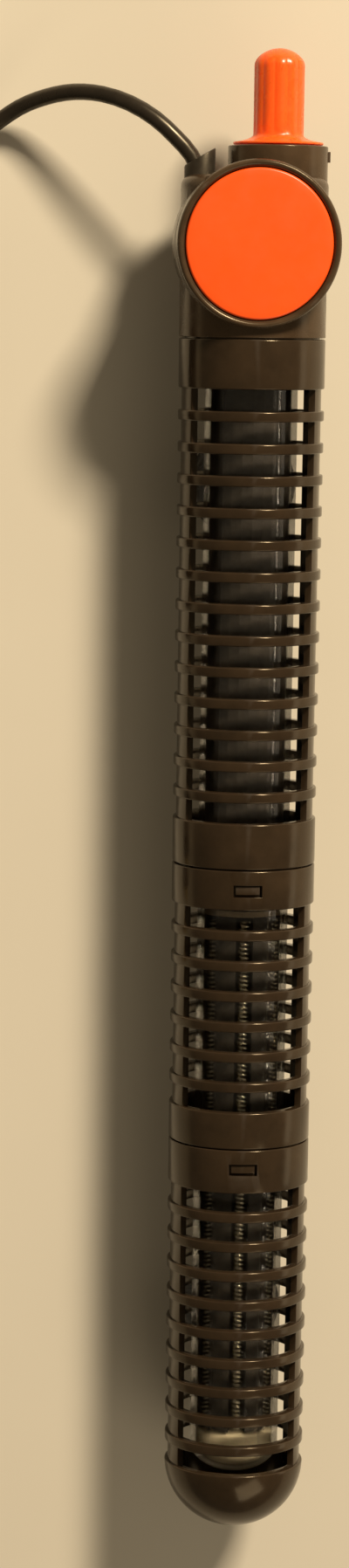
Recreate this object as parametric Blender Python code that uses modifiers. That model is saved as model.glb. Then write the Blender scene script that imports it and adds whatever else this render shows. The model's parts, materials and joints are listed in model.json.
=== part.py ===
"""Submersible aquarium heater, 100 W: guarded glass tube, control head, mains lead.

The heater lies on its two suction cups, with the knob towards +Y and the disc of its head
facing +Z. Figures are in millimetres, and MM turns them into metres. The heater's own axis
runs along Y at x = 0, AXIS_Z above the surface. Pieces of the heater are placed from that
axis; the lead, its hank and its plug are placed from the surface.
"""

import math

import bmesh
import bpy
from mathutils import Matrix, Vector

MM = 0.001
CLEAR = 0.3  # the gap between neighbouring pieces

# The heater's length and its axis.
HALF_LENGTH = 178.7
AXIS_Z = 26.0
ROUND = 24  # sides of a turned piece

# Guard: three ribbed sections with a ring every RING_PITCH.
GUARD_R = 17.25
RIB_R = 16.5
GUARD_BORE_R = 14.9
RING_PITCH = 7.405
RING_HEIGHT = 2.4
GAP = RING_PITCH - RING_HEIGHT
WINDOW_HALF_WIDTH = 14.3
JOINT_0 = 113.05
JOINT_1 = -10.85
JOINT_2 = -79.0
UPPER_RINGS = (96.45, 14)  # top of the first ring, and the number of gaps
MIDDLE_RINGS = (-25.5, 7)
LOWER_RINGS = (-94.85, 10)
DOME_Y = -HALF_LENGTH + GUARD_R
SPIGOT_R = 15.9
SOCKET_R = 16.2
SPIGOT_LENGTH = 7.9
LATCH_DROP = 5.0
LATCH_SIZE = (6.3, 2.3)

# Head: body on the axis, drum that faces the front, knob neck and cord gland on top.
BODY_TOP = 150.0
HEAD_BORE_R = 14.9
THROAT_R = 13.1
THROAT_Y = 114.6
DRUM_Y = 134.35
DRUM_BACK = -4.0
DRUM_STEP = 12.0
DRUM_FRONT = 16.0
DRUM_R = 19.0
DRUM_BORE_R = 15.2
DRUM_SPIGOT_R = 16.9
BEZEL_FRONT = 19.5
DISC_R = 17.05
NECK_X = 5.3
NECK_R = 11.65
NECK_TOP = 156.75
NECK_BORE_R = 4.3
GLAND_X = -12.9
GLAND_R = 3.65
GLAND_STEM_R = 2.4
GLAND_TILT = math.radians(29.5)
GLAND_CUT = Vector((GLAND_X, 154.2, 0.0))

# Knob and its shaft.
KNOB_BASE = 157.05
KNOB_R = 5.87
SKIRT_R = 10.5
FLUTES = 12
SHAFT_R = 2.0
SHAFT_TOP = 169.7
SHAFT_END = 88.3

# Glass tube and what it holds.
TUBE_R = 11.0
TUBE_BORE_R = 9.8
TUBE_TOP = 127.0
TUBE_END = -157.4
TUBE_DOME = 7.0
LINER_R = 9.5
FORMER_R = 9.2
FORMER = (-152.6, -23.6)
COIL_R = 1.5
COIL_RADIUS = 7.7
COILS = 6
ROD_R = 1.3

# Thermostat lever, and the wires inside the tube.
ARM_PIN = (-5.5, 84.2)
WIRE_R = 0.75
STOPPER_WIRE = (-4.0, 3.0)
LIVE_ROUTE = ((-4.6, 105.0, 3.2), (-4.8, 92.0, 3.4), (-5.0, 80.0, 3.5), (-4.6, 66.0, 3.4),
              (-4.2, 54.0, 3.0))
NEUTRAL_ROUTE = ((-3.6, 108.0, -4.4), (-2.8, 95.0, -6.0), (-2.5, 70.0, -6.3), (-2.0, 42.0, -6.0),
                 (-0.5, 12.0, -4.4), (0.5, -19.0, -3.6))
FEED_ROUTE = ((4.4, 47.0, 0.6), (5.6, 40.0, 2.6), (6.8, 30.0, 2.8), (7.0, 18.0, 2.4),
              (5.6, 0.0, 1.4), (4.2, -19.0, 0.6))

# Suction cups, on bosses at the guard's back.
CUP_R = 13.0
CUP_Y = (77.9, -128.2)
BOSS_R = 5.5
BOSS_BACK = -17.6

# Lead: free run, hank, tail and plug, placed from the surface.
CORD_R = 1.9
HANK_CENTRE = (-82.5, 99.5)
HANK_RUN = 70.0
HANK_FOLD_R = 15.5
HANK_LIFT = 1.1
HANK_LAYERS = 4
LAYER_STEP = 3.9
HANK_HEIGHT = (HANK_LAYERS - 1) * LAYER_STEP + 2 * CORD_R
TIE_WIDTH = 8.0
TIE_THICK = 0.8
PLUG = Vector((-93.0, -10.5, 8.0))
PLUG_SIZE = (26.0, 34.0, 16.0)
PLUG_RELIEF_TIP = 26.5
BLADE = (1.5, 17.0, 6.35)
BLADE_SPACING = 12.7
CORD_ROUTE = (
    (-14.9, 154.4, 26.0),
    (-18.7, 158.5, 25.8),
    (-23.4, 162.6, 25.0),
    (-29.2, 166.0, 23.0),
    (-35.5, 168.1, 19.8),
    (-42.0, 168.7, 15.8),
    (-48.4, 167.7, 11.4),
    (-54.8, 165.3, 7.4),
    (-61.2, 161.0, 4.4),
    (-66.8, 156.2, 3.2),
    (-72.3, 152.4, 2.9),
)
TAIL_ROUTE = (
    (-98.0, 53.0, 14.3),
    (-97.8, 48.0, 12.9),
    (-96.6, 42.0, 10.6),
    (-94.9, 36.2, 8.8),
    (-93.5, 31.2, 8.1),
    (-93.0, 26.9, 8.0),
)

MATERIALS = {
    "black_abs": ((0.022, 0.019, 0.016), 0.38, 0.0),
    "orange_abs": ((0.93, 0.16, 0.025), 0.35, 0.0),
    "quartz_glass": ((0.78, 0.74, 0.66), 0.06, 0.0),
    "black_rubber": ((0.018, 0.017, 0.016), 0.62, 0.0),
    "ceramic": ((0.72, 0.62, 0.46), 0.7, 0.0),
    "dark_ceramic": ((0.055, 0.048, 0.04), 0.6, 0.0),
    "heating_wire": ((0.42, 0.39, 0.36), 0.38, 1.0),
    "silica_pad": ((0.78, 0.72, 0.60), 0.9, 0.0),
    "liner_sleeve": ((0.03, 0.03, 0.035), 0.75, 0.0),
    "mica_board": ((0.33, 0.25, 0.15), 0.6, 0.0),
    "bimetal": ((0.62, 0.52, 0.36), 0.35, 1.0),
    "steel": ((0.55, 0.55, 0.56), 0.3, 1.0),
    "brass": ((0.70, 0.52, 0.24), 0.3, 1.0),
    "lamp_glass": ((0.85, 0.55, 0.35), 0.12, 0.0),
    "wire_sleeve": ((0.75, 0.73, 0.68), 0.7, 0.0),
    "cord_pvc": ((0.020, 0.018, 0.016), 0.33, 0.0),
    "cup_silicone": ((0.05, 0.045, 0.04), 0.3, 0.0),
}


def clear_scene():
    for obj in list(bpy.data.objects):
        bpy.data.objects.remove(obj, do_unlink=True)


clear_scene()
PARTS = bpy.data.collections.new("aquarium_heater")
CUTTERS = bpy.data.collections.new("aquarium_heater_cutters")
bpy.context.scene.collection.children.link(PARTS)
bpy.context.scene.collection.children.link(CUTTERS)
CUTTERS.hide_render = True

HEATER = bpy.data.objects.new("heater_axis", None)
HEATER.location = (0.0, 0.0, AXIS_Z * MM)
SURFACE = bpy.data.objects.new("surface", None)
PARTS.objects.link(HEATER)
PARTS.objects.link(SURFACE)

ALONG_Y = (-math.pi / 2, 0.0, 0.0)
ALONG_Z = (0.0, 0.0, 0.0)


def principled(name):
    color, roughness, metallic = MATERIALS[name]
    made = bpy.data.materials.get(name) or bpy.data.materials.new(name)
    made.use_nodes = True
    shader = made.node_tree.nodes["Principled BSDF"]
    shader.inputs["Base Color"].default_value = (*color, 1.0)
    shader.inputs["Roughness"].default_value = roughness
    shader.inputs["Metallic"].default_value = metallic
    made.diffuse_color = (*color, 1.0)
    return made


def place(obj, location, turn=ALONG_Z, parent=None):
    obj.parent = parent or HEATER
    obj.location = Vector(location) * MM
    obj.rotation_euler = turn
    return obj


def keep(obj, material):
    obj.data.materials.append(principled(material))
    PARTS.objects.link(obj)
    return obj


def mesh_object(name, bm):
    mesh = bpy.data.meshes.new(name)
    bm.to_mesh(mesh)
    bm.free()
    return bpy.data.objects.new(name, mesh)


def outline_object(name, outline, closed):
    """A profile in the XZ plane, from (radius, height) pairs."""
    bm = bmesh.new()
    points = [bm.verts.new((r * MM, 0.0, h * MM)) for r, h in outline]
    for a, b in zip(points, points[1:]):
        bm.edges.new((a, b))
    if closed:
        bm.edges.new((points[-1], points[0]))
    return mesh_object(name, bm)


def turned(name, outline, closed=True, steps=ROUND):
    """Turns a profile about local Z; its outer side is listed from top to bottom."""
    obj = outline_object(name, outline, closed)
    screw = obj.modifiers.new("turn", "SCREW")
    screw.axis = "Z"
    screw.angle = 2 * math.pi
    screw.steps = steps
    screw.render_steps = steps
    screw.use_merge_vertices = True
    screw.merge_threshold = 0.00001
    screw.use_smooth_shade = True
    return obj


def shell_ring(name, outer, inner, low, high, steps=ROUND):
    return turned(name, ((outer, high), (outer, low), (inner, low), (inner, high)), True, steps)


def solid_round(name, radius, low, high, steps=ROUND):
    return turned(name, ((0.0, high), (radius, high), (radius, low), (0.0, low)), False, steps)


def cube(name, size):
    bm = bmesh.new()
    bmesh.ops.create_cube(bm, size=1.0, matrix=Matrix.Diagonal((*(Vector(size) * MM), 1.0)))
    return mesh_object(name, bm)


def rounded_cube(name, size, radius, segments=3):
    obj = cube(name, size)
    bevel = obj.modifiers.new("edges", "BEVEL")
    bevel.width = radius * MM
    bevel.segments = segments
    return obj


def combine(target, other, operation, name):
    """Adds other to target or takes it away, and keeps other as a hidden helper."""
    other.display_type = "WIRE"
    other.hide_render = True
    CUTTERS.objects.link(other)
    boolean = target.modifiers.new(name, "BOOLEAN")
    boolean.operation = operation
    boolean.solver = "EXACT"
    boolean.object = other


def cut(target, other):
    combine(target, other, "DIFFERENCE", f"cut_{other.name}")


def add(target, other):
    combine(target, other, "UNION", f"add_{other.name}")


def smooth_line(points, step):
    """Points about step apart on a Catmull-Rom curve through the given points."""
    ends = [2 * points[0] - points[1], *points, 2 * points[-1] - points[-2]]
    line = []
    for before, a, b, after in zip(ends, ends[1:], ends[2:], ends[3:]):
        count = max(1, round((b - a).length / step))
        for k in range(count):
            t = k / count
            line.append(0.5 * (2 * a + (b - before) * t
                               + (2 * before - 5 * a + 4 * b - after) * t**2
                               + (3 * a - before - 3 * b + after) * t**3))
    return [*line, points[-1]]


def tube(name, points, radius, resolution=2):
    """A solid tube with filled caps along the points."""
    curve = bpy.data.curves.new(name, "CURVE")
    curve.dimensions = "3D"
    curve.bevel_depth = radius * MM
    curve.bevel_resolution = resolution
    curve.use_fill_caps = True
    spline = curve.splines.new("POLY")
    spline.points.add(len(points) - 1)
    for point, place_mm in zip(spline.points, points):
        point.co = (*(Vector(place_mm) * MM), 1.0)
    return bpy.data.objects.new(name, curve)


def flat_outline(name, points, thickness):
    """A flat plate in the XY plane, from a closed outline."""
    curve = bpy.data.curves.new(name, "CURVE")
    curve.dimensions = "2D"
    curve.fill_mode = "BOTH"
    curve.extrude = thickness * MM / 2
    spline = curve.splines.new("POLY")
    spline.points.add(len(points) - 1)
    for point, place_mm in zip(spline.points, points):
        point.co = (*(Vector(place_mm) * MM), 0.0, 1.0)
    spline.use_cyclic_u = True
    return bpy.data.objects.new(name, curve)


# Guard


def ring_outline(rings, top, bottom):
    """The outer side of a ribbed section: full radius at the rings, less between them."""
    first, count = rings
    side = [(GUARD_R, top)]
    for k in range(count):
        low = first - k * RING_PITCH + 0.1
        high = low + GAP - 0.2
        side += [(GUARD_R, high), (RIB_R, high), (RIB_R, low), (GUARD_R, low)]
    side.append((GUARD_R, bottom))
    return side


def spigot_outline(joint):
    """The narrow end that enters the next section, down its outside and back up its bore."""
    shoulder = joint + CLEAR / 2
    tip = joint - SPIGOT_LENGTH
    return [(GUARD_R, shoulder), (SPIGOT_R, shoulder), (SPIGOT_R, tip), (GUARD_BORE_R, tip)]


def socket_outline(joint):
    """The wide bore that takes the section above, from its inner end to the mouth."""
    seat = joint - SPIGOT_LENGTH - CLEAR
    mouth = joint - CLEAR / 2
    return [(GUARD_BORE_R, seat), (SOCKET_R, seat), (SOCKET_R, mouth)]


def gap_windows(name, rings):
    """One slot in front and behind for each gap between rings."""
    first, count = rings
    bm = bmesh.new()
    for k in range(count):
        middle = first - k * RING_PITCH + GAP / 2
        scale = Matrix.Diagonal(Vector((2 * WINDOW_HALF_WIDTH, GAP, 44.0, 1.0)) * MM)
        scale[3][3] = 1.0
        bmesh.ops.create_cube(bm, matrix=Matrix.Translation((0.0, middle * MM, 0.0)) @ scale)
    return place(mesh_object(f"{name}_windows", bm), (0, 0, 0))


def latch_tongue(name, joint):
    width, height = LATCH_SIZE
    depth = 1.9
    block = cube(f"{name}_tongue", (width, height, depth))
    return place(block, (0, joint - LATCH_DROP, GUARD_R - 0.35 - depth / 2))


def latch_window(name, joint):
    width, height = LATCH_SIZE
    block = cube(f"{name}_latch_window", (width + 2 * CLEAR, height + 2 * CLEAR, 6.0))
    return place(block, (0, joint - LATCH_DROP, GUARD_R))


def cup_boss(name, y):
    depth = 2.2
    boss = solid_round(f"{name}_boss", BOSS_R, BOSS_BACK, BOSS_BACK + depth, 20)
    return place(boss, (0, y, 0))


def cup_hole(name, y):
    return place(solid_round(f"{name}_cup_hole", 2.3, -20.0, -12.0, 16), (0, y, 0))


def guard_section(name, outline, rings):
    section = place(turned(name, outline), (0, 0, 0), ALONG_Y)
    cut(section, gap_windows(name, rings))
    return keep(section, "black_abs")


def guard_upper():
    outline = [*ring_outline(UPPER_RINGS, JOINT_0 - CLEAR / 2, JOINT_1 + CLEAR / 2),
               *spigot_outline(JOINT_1)[1:], *socket_outline(JOINT_0)]
    section = guard_section("guard_upper", outline, UPPER_RINGS)
    add(section, latch_tongue("guard_upper", JOINT_1))
    add(section, cup_boss("guard_upper", CUP_Y[0]))
    cut(section, cup_hole("guard_upper", CUP_Y[0]))


def guard_middle():
    outline = [*ring_outline(MIDDLE_RINGS, JOINT_1 - CLEAR / 2, JOINT_2 + CLEAR / 2),
               *spigot_outline(JOINT_2)[1:], *socket_outline(JOINT_1)]
    section = guard_section("guard_middle", outline, MIDDLE_RINGS)
    cut(section, latch_window("guard_middle", JOINT_1))
    add(section, latch_tongue("guard_middle", JOINT_2))


def dome_arc(radius, depth, centre):
    """A quarter of an ellipse, from its full radius down to the axis."""
    angles = [math.radians(15 * k) for k in range(6)]
    arc = [(radius * math.cos(a), centre - depth * math.sin(a)) for a in angles]
    return [*arc, (0.0, centre - depth)]


def guard_lower():
    inside = [*reversed(dome_arc(GUARD_BORE_R, GUARD_BORE_R, DOME_Y)), *socket_outline(JOINT_2)]
    outside = ring_outline(LOWER_RINGS, JOINT_2 - CLEAR / 2, DOME_Y)[:-1]
    outline = [*inside, *outside, *dome_arc(GUARD_R, GUARD_R, DOME_Y)]
    section = place(turned("guard_lower", outline, False), (0, 0, 0), ALONG_Y)
    cut(section, gap_windows("guard_lower", LOWER_RINGS))
    cut(section, latch_window("guard_lower", JOINT_2))
    add(section, cup_boss("guard_lower", CUP_Y[1]))
    cut(section, cup_hole("guard_lower", CUP_Y[1]))
    keep(section, "black_abs")


def suction_cup(name, y):
    """A cup with a mushroom stud that snaps through the boss; its lip rests on the surface."""
    lip = -AXIS_Z
    back = BOSS_BACK - CLEAR
    outline = [(0.0, -12.9), (2.9, -13.3), (3.3, -14.3), (2.0, -14.6), (2.0, back), (5.0, back),
               (5.2, -20.2), (8.5, -21.6), (CUP_R, lip + 0.9), (CUP_R, lip), (CUP_R - 1.4, lip),
               (7.6, lip + 3.0), (3.0, lip + 4.2), (0.0, lip + 4.4)]
    cup = turned(name, outline, False, 24)
    return keep(place(cup, (0, y, 0)), "cup_silicone")


# Head


def head_housing():
    """Body, drum, neck and spigot in one shell, open at the bottom and at the front."""
    low = JOINT_0 - SPIGOT_LENGTH
    body = [(0.0, BODY_TOP), (GUARD_R - 2.5, BODY_TOP), (GUARD_R - 0.7, BODY_TOP - 0.7),
            (GUARD_R, BODY_TOP - 2.5), (GUARD_R, JOINT_0 + CLEAR / 2),
            (SPIGOT_R, JOINT_0 + CLEAR / 2), (SPIGOT_R, low), (0.0, low)]
    housing = keep(place(turned("head_housing", body, False, 36), (0, 0, 0), ALONG_Y), "black_abs")
    pocket = solid_round("bezel_pocket", DRUM_R + CLEAR, DRUM_STEP - 0.5, DRUM_FRONT + 8.0, 36)
    cut(housing, place(pocket, (0, DRUM_Y, 0)))
    drum = [(0.0, DRUM_FRONT), (DRUM_SPIGOT_R, DRUM_FRONT), (DRUM_SPIGOT_R, DRUM_STEP),
            (DRUM_R, DRUM_STEP), (DRUM_R, DRUM_BACK), (0.0, DRUM_BACK)]
    add(housing, place(turned("drum", drum, False, 36), (0, DRUM_Y, 0)))
    neck = [(0.0, NECK_TOP), (NECK_R - 0.4, NECK_TOP), (NECK_R, NECK_TOP - 0.4),
            (NECK_R, BODY_TOP - 4.0), (0.0, BODY_TOP - 4.0)]
    add(housing, place(turned("neck", neck, False), (NECK_X, 0, 0), ALONG_Y))
    nub = (1.6, 2.4, 1.6)
    add(housing, place(cube("index_nub", nub), (NECK_X + NECK_R - 0.25, 154.4, 0)))
    bore_outline = [(0.0, BODY_TOP - 2.0), (THROAT_R, BODY_TOP - 2.0), (THROAT_R, THROAT_Y),
                    (HEAD_BORE_R, THROAT_Y), (HEAD_BORE_R, low - 4.0), (0.0, low - 4.0)]
    bore = turned("head_bore", bore_outline, False)
    cut(housing, place(bore, (0, 0, 0), ALONG_Y))
    front = solid_round("drum_bore", DRUM_BORE_R, DRUM_BACK + 2.0, DRUM_FRONT + 4.0, 32)
    cut(housing, place(front, (0, DRUM_Y, 0)))
    shaft_way = solid_round("shaft_way", NECK_BORE_R, BODY_TOP - 6.0, NECK_TOP + 4.0, 20)
    cut(housing, place(shaft_way, (NECK_X, 0, 0), ALONG_Y))
    gland_way = [(0.0, 162.0), (GLAND_R + CLEAR, 162.0), (GLAND_R + CLEAR, 147.6),
                 (GLAND_STEM_R + CLEAR, 147.6), (GLAND_STEM_R + CLEAR, 130.0), (0.0, 130.0)]
    cut(housing, place(turned("gland_way", gland_way, False, 20), (GLAND_X, 0, 0), ALONG_Y))


def cover_bezel():
    """The ring round the disc, with a rounded front."""
    inner = DRUM_SPIGOT_R + CLEAR
    outline = [(18.35, BEZEL_FRONT), (18.8, BEZEL_FRONT - 0.6), (DRUM_R, BEZEL_FRONT - 1.6),
               (DRUM_R, DRUM_STEP + CLEAR), (inner, DRUM_STEP + CLEAR), (inner, 17.0),
               (DISC_R + CLEAR, 17.2), (DISC_R + CLEAR, BEZEL_FRONT - 0.9), (17.85, BEZEL_FRONT - 0.1)]
    keep(place(turned("cover_bezel", outline, True, 40), (0, DRUM_Y, 0)), "black_abs")


def cover_disc():
    outline = [(0.0, 19.9), (11.0, 19.75), (15.6, 19.45), (16.6, 19.1), (DISC_R, 18.4),
               (DISC_R, 17.7), (15.0, 17.7), (14.9, 13.2), (13.7, 13.2), (13.7, 17.9), (0.0, 18.1)]
    keep(place(turned("cover_disc", outline, False, 40), (0, DRUM_Y, 0)), "orange_abs")


def cover_seal():
    ring = shell_ring("cover_seal", 16.7, 15.4, DRUM_FRONT + CLEAR, 17.4)
    keep(place(ring, (0, DRUM_Y, 0)), "black_rubber")


def cord_gland():
    """A sleeve with a slanted mouth; its stem runs down inside the head."""
    outline = [(0.0, 160.0), (GLAND_R, 160.0), (GLAND_R, 147.9), (GLAND_STEM_R, 147.9),
               (GLAND_STEM_R - 0.3, 136.0), (0.0, 136.0)]
    gland = place(turned("cord_gland", outline, False, 24), (GLAND_X, 0, 0), ALONG_Y)
    block = cube("gland_mouth", (24.0, 10.0, 24.0))
    up = Vector((-math.sin(GLAND_TILT), math.cos(GLAND_TILT), 0.0))
    cut(gland, place(block, GLAND_CUT + 5.0 * up, (0.0, 0.0, GLAND_TILT)))
    keep(gland, "black_rubber")


# Knob and shaft, which turn together about x = NECK_X


def temperature_knob():
    top = HALF_LENGTH
    outline = [(0.0, top), (1.4, top - 0.1), (2.5, top - 0.45), (3.8, top - 1.2), (5.3, top - 2.3),
               (KNOB_R, top - 3.9), (KNOB_R, 159.4), (6.5, 158.7), (8.0, 158.2), (SKIRT_R, 157.6),
               (SKIRT_R, KNOB_BASE), (SHAFT_R + CLEAR, KNOB_BASE), (SHAFT_R + CLEAR, SHAFT_TOP + CLEAR),
               (0.0, SHAFT_TOP + CLEAR)]
    knob = place(turned("temperature_knob", outline, False, 36), (NECK_X, 0, 0), ALONG_Y)
    bm = bmesh.new()
    for k in range(FLUTES):
        angle = 2 * math.pi * k / FLUTES
        side = Vector((math.cos(angle), math.sin(angle), 0.0)) * (KNOB_R + 0.75) * MM
        centre = Matrix.Translation(side + Vector((0.0, 0.0, 167.9 * MM)))
        bmesh.ops.create_cone(bm, cap_ends=True, segments=10, radius1=1.1 * MM, radius2=1.1 * MM,
                              depth=15.8 * MM, matrix=centre)
    cut(knob, place(mesh_object("knob_flutes", bm), (NECK_X, 0, 0), ALONG_Y))
    keep(knob, "orange_abs")


def knob_shaft():
    shaft = solid_round("knob_shaft", SHAFT_R, SHAFT_END, SHAFT_TOP, 20)
    keep(place(shaft, (NECK_X, 0, 0), ALONG_Y), "brass")


def shaft_fittings():
    inner = SHAFT_R + CLEAR
    rows = (("shaft_bush", 4.0, 151.3, 155.8, "steel"), ("shaft_seal", 4.0, 148.6, 151.0, "black_rubber"),
            ("shaft_clip", 4.6, 146.4, 147.6, "steel"))
    for name, outer, low, high, material in rows:
        keep(place(shell_ring(name, outer, inner, low, high, 20), (NECK_X, 0, 0), ALONG_Y), material)


def adjusting_tip():
    outline = [(0.0, SHAFT_END - CLEAR), (3.0, SHAFT_END - CLEAR), (3.0, 86.4), (1.2, 85.4), (0.0, 85.4)]
    keep(place(turned("adjusting_tip", outline, False, 20), (NECK_X, 0, 0), ALONG_Y), "brass")


# Tube and seals


def glass_tube():
    wall = TUBE_R - TUBE_BORE_R
    inside = reversed(dome_arc(TUBE_BORE_R, TUBE_DOME - wall, TUBE_END))
    outline = [*inside, (TUBE_BORE_R, TUBE_TOP), (TUBE_R, TUBE_TOP),
               *dome_arc(TUBE_R, TUBE_DOME, TUBE_END)]
    keep(place(turned("glass_tube", outline, False), (0, 0, 0), ALONG_Y), "quartz_glass")


def tube_stopper():
    """A rubber bung with a flange on the glass's lip, and holes for the shaft and two wires."""
    outline = [(0.0, 130.3), (12.8, 130.3), (12.8, TUBE_TOP + CLEAR), (LINER_R, TUBE_TOP + CLEAR),
               (LINER_R, 119.0), (0.0, 119.0)]
    stopper = place(turned("tube_stopper", outline, False), (0, 0, 0), ALONG_Y)
    shaft_hole = solid_round("stopper_shaft_hole", SHAFT_R + CLEAR, 110.0, 140.0, 16)
    cut(stopper, place(shaft_hole, (NECK_X, 0, 0), ALONG_Y))
    for name, side in (("live", 1), ("neutral", -1)):
        hole = solid_round(f"stopper_{name}_hole", WIRE_R + CLEAR, 110.0, 140.0, 12)
        cut(stopper, place(hole, (STOPPER_WIRE[0], 0, side * STOPPER_WIRE[1]), ALONG_Y))
    keep(stopper, "black_rubber")


def clamp_collar():
    ring = shell_ring("clamp_collar", HEAD_BORE_R - CLEAR, TUBE_R + CLEAR, 106.0, THROAT_Y - CLEAR)
    keep(place(ring, (0, 0, 0), ALONG_Y), "black_abs")


def tube_liner():
    liner = shell_ring("tube_liner", LINER_R, LINER_R - 0.5, -21.5, 118.0)
    keep(place(liner, (0, 0, 0), ALONG_Y), "liner_sleeve")


# Thermostat, lamp and suppressor


def block(name, size, centre, material, edge=0.0):
    made = rounded_cube(name, size, edge) if edge else cube(name, size)
    return keep(place(made, centre), material)


def thermostat():
    block("thermostat_base", (13.0, 42.0, 1.2), (-0.5, 65.0, -3.0), "mica_board")
    block("contact_block", (6.0, 6.0, 2.0), (0.0, 50.0, -1.1), "ceramic", 0.3)
    block("contact_magnet", (4.0, 4.0, 2.0), (0.0, 78.0, -1.1), "steel", 0.3)
    block("bimetal_strip", (4.5, 34.0, 0.5), (0.0, 64.0, 0.45), "bimetal")
    rivet = solid_round("contact_rivet", 1.2, 1.0, 1.9, 16)
    keep(place(rivet, (0.0, 74.0, 0.0)), "brass")
    block("contact_spring", (4.5, 26.0, 0.3), (0.0, 66.0, 2.35), "brass")


def set_arm():
    """The lever that the adjusting tip presses; it turns on its pin."""
    arm = block("set_arm", (11.0, 0.9, 3.0), (ARM_PIN[0] + 6.5, ARM_PIN[1], 0.0), "steel")
    add(arm, place(solid_round("arm_boss", 1.8, -1.5, 1.5, 16), (*ARM_PIN, 0.0)))
    cut(arm, place(solid_round("arm_hole", 0.95, -4.0, 4.0, 12), (*ARM_PIN, 0.0)))
    pin = solid_round("arm_pin", 0.65, -2.1, 1.8, 12)
    keep(place(pin, (*ARM_PIN, 0.0)), "steel")


def lamp_and_suppressor():
    block("suppressor", (8.0, 11.0, 4.5), (0.5, 36.0, -1.0), "mica_board", 0.6)
    lamp = [(0.0, 24.0), (1.5, 23.4), (2.1, 22.0), (2.1, 13.4), (1.2, 12.6), (0.0, 12.6)]
    keep(place(turned("indicator_lamp", lamp, False, 20), (-3.8, 0, 3.0), ALONG_Y), "lamp_glass")
    resistor = [(0.0, 21.3), (0.9, 21.3), (1.15, 20.7), (1.15, 15.3), (0.9, 14.7), (0.0, 14.7)]
    keep(place(turned("lamp_resistor", resistor, False, 16), (2.6, 0, 2.6), ALONG_Y), "ceramic")


# Heating element


def around(index):
    angle = 2 * math.pi * index / COILS + math.pi / 2
    return COIL_RADIUS * math.cos(angle), COIL_RADIUS * math.sin(angle)


def heating_element():
    low, high = FORMER
    former = place(solid_round("ceramic_former", FORMER_R, low, high, 36), (0, 0, 0), ALONG_Y)
    bore = solid_round("former_bore", ROD_R + CLEAR, low - 5.0, high + 5.0, 12)
    cut(former, place(bore, (0, 0, 0), ALONG_Y))
    for k in range(COILS):
        x, z = around(k)
        channel = solid_round(f"channel_{k + 1}", COIL_R + 0.35, low - 5.0, high + 5.0, 14)
        cut(former, place(channel, (x, 0, z), ALONG_Y))
        coil = solid_round(f"heating_coil_{k + 1}", COIL_R, low + 1.0, high - 1.0, 12)
        keep(place(coil, (x, 0, z), ALONG_Y), "heating_wire")
    keep(former, "dark_ceramic")
    rod = solid_round("former_rod", ROD_R, low + 0.2, high + 3.0, 12)
    keep(place(rod, (0, 0, 0), ALONG_Y), "steel")
    disc = shell_ring("former_disc", LINER_R - 0.2, ROD_R + CLEAR, high + CLEAR, high + 1.7)
    keep(place(disc, (0, 0, 0), ALONG_Y), "mica_board")
    depth = TUBE_DOME - (TUBE_R - TUBE_BORE_R) - CLEAR
    outline = [(0.0, low - CLEAR), (LINER_R, low - CLEAR), *dome_arc(LINER_R, depth, TUBE_END)]
    pad = turned("bottom_pad", outline, False)
    keep(place(pad, (0, 0, 0), ALONG_Y), "silica_pad")


def inner_wires():
    x, z = STOPPER_WIRE
    head = ((-12.9, 135.4), (-12.5, 133.8), (-10.6, 132.8), (-8.2, 132.6), (-5.6, 132.2))
    for name, side, rest in (("live_wire", 1, LIVE_ROUTE), ("neutral_wire", -1, NEUTRAL_ROUTE)):
        start = [(px, py, side * (0.95 + k * (z - 0.95) / 4)) for k, (px, py) in enumerate(head)]
        route = [Vector(p) for p in (*start, (x, 130.9, side * z), (x, 118.0, side * z), *rest)]
        keep(place(tube(name, smooth_line(route, 4.0), WIRE_R), (0, 0, 0)), "wire_sleeve")
    feed = smooth_line([Vector(p) for p in FEED_ROUTE], 5.0)
    keep(place(tube("feed_wire", feed, WIRE_R), (0, 0, 0)), "wire_sleeve")


# Lead, hank and plug, placed from the surface


def on_surface(obj, material):
    return keep(place(obj, obj.location / MM, obj.rotation_euler, SURFACE), material)


def lead():
    for name, route in (("power_cord", CORD_ROUTE), ("cord_tail", TAIL_ROUTE)):
        line = smooth_line([Vector(p) for p in route], 5.0)
        on_surface(tube(name, line, CORD_R), "cord_pvc")


def hank_outline(radius):
    """A racetrack about the hank's centre, with folds of the given radius."""
    cx, cy = HANK_CENTRE
    points = []
    for end, start in ((1, 0.0), (-1, math.pi)):
        for k in range(17):
            angle = start + math.pi * k / 16
            points.append((cx + radius * math.cos(angle),
                           cy + end * HANK_RUN / 2 + radius * math.sin(angle)))
    return points


def hank():
    bundle = flat_outline("cord_hank", hank_outline(HANK_FOLD_R + CORD_R), HANK_HEIGHT)
    bundle.location.z = (HANK_LIFT + HANK_HEIGHT / 2) * MM
    on_surface(bundle, "cord_pvc")


def hank_tie():
    """A flat band round the middle of the hank."""
    inner_x = 2 * (HANK_FOLD_R + CORD_R + CLEAR)
    inner_z = HANK_HEIGHT + 2 * CLEAR
    middle = Vector((*HANK_CENTRE, TIE_THICK + inner_z / 2))
    outer = (inner_x + 2 * TIE_THICK, TIE_WIDTH, inner_z + 2 * TIE_THICK)
    band = place(rounded_cube("hank_tie", outer, 0.4, 2), middle, parent=SURFACE)
    opening = cube("tie_opening", (inner_x, TIE_WIDTH + 4.0, inner_z))
    cut(band, place(opening, middle, parent=SURFACE))
    keep(band, "black_rubber")


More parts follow.
